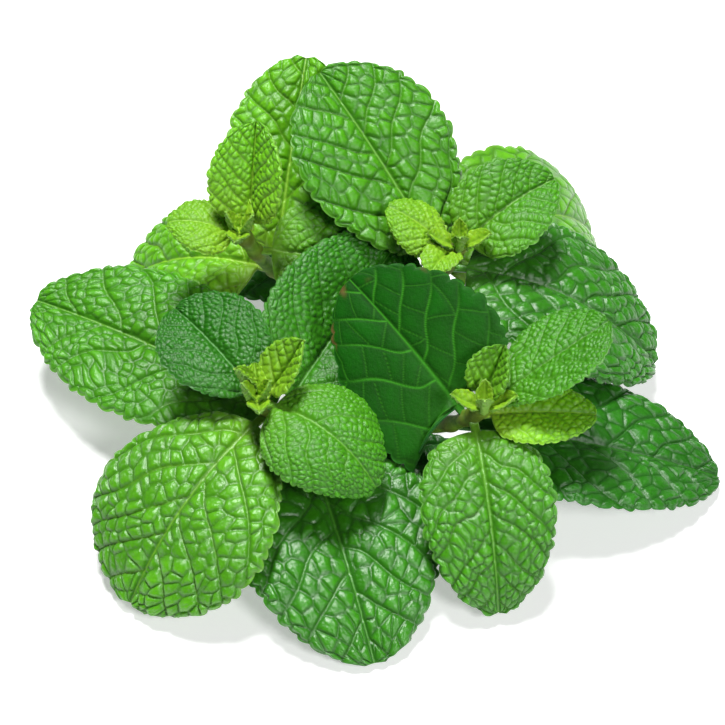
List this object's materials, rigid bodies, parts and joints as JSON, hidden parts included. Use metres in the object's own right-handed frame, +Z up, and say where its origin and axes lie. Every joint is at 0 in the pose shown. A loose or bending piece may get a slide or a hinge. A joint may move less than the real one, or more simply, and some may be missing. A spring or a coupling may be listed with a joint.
{
  "type": "cut mint plant",
  "caption": "Leafy mint cutting lying down: a pinched square stem with side shoots, each ending in a rosette of broad, opposite, toothed leaves.",
  "frame": {"origin": "centre of the plant's bounding box, on the surface that it lies on", "axes": "+Z up from the surface; the main stem lies along Y with its cut end towards +Y; +X towards the front right shoot's side"},
  "size_m": [0.138, 0.1306, 0.0549],
  "materials": {
    "mature_leaf": "satin, quilted, fresh green",
    "young_leaf": "satin, finely downy, bright yellow-green",
    "stem": "matte, square, pale green"
  },
  "bodies": {
    "root": {"back_left_bud": "young_leaf", "back_left_leaf_1a": "mature_leaf", "back_left_leaf_1b": "young_leaf", "back_left_leaf_2a": "mature_leaf", "back_left_leaf_3a": "young_leaf", "back_left_leaf_3b": "young_leaf", "back_left_stem": "stem", "back_right_bud": "young_leaf", "back_right_leaf_1a": "mature_leaf", "back_right_leaf_1b": "mature_leaf", "back_right_leaf_2a": "mature_leaf", "back_right_leaf_3a": "young_leaf", "back_right_leaf_3b": "young_leaf", "back_right_leaf_4a": "young_leaf", "back_right_stem": "stem", "front_left_bud": "young_leaf", "front_left_leaf_1a": "mature_leaf", "front_left_leaf_1b": "mature_leaf", "front_left_leaf_2a": "mature_leaf", "front_left_leaf_2b": "mature_leaf", "front_left_leaf_3a": "young_leaf", "front_left_leaf_3b": "young_leaf", "front_left_leaf_4a": "young_leaf", "front_left_leaf_4b": "young_leaf", "front_left_stem": "stem", "front_right_bud": "young_leaf", "front_right_leaf_1a": "mature_leaf", "front_right_leaf_1b": "mature_leaf", "front_right_leaf_2a": "mature_leaf", "front_right_leaf_2b": "young_leaf", "front_right_leaf_3a": "young_leaf", "front_right_leaf_3b": "young_leaf", "front_right_stem": "stem", "main_leaf_left": "mature_leaf", "main_leaf_right": "mature_leaf", "main_stem": "stem"}
  },
  "joints": []
}
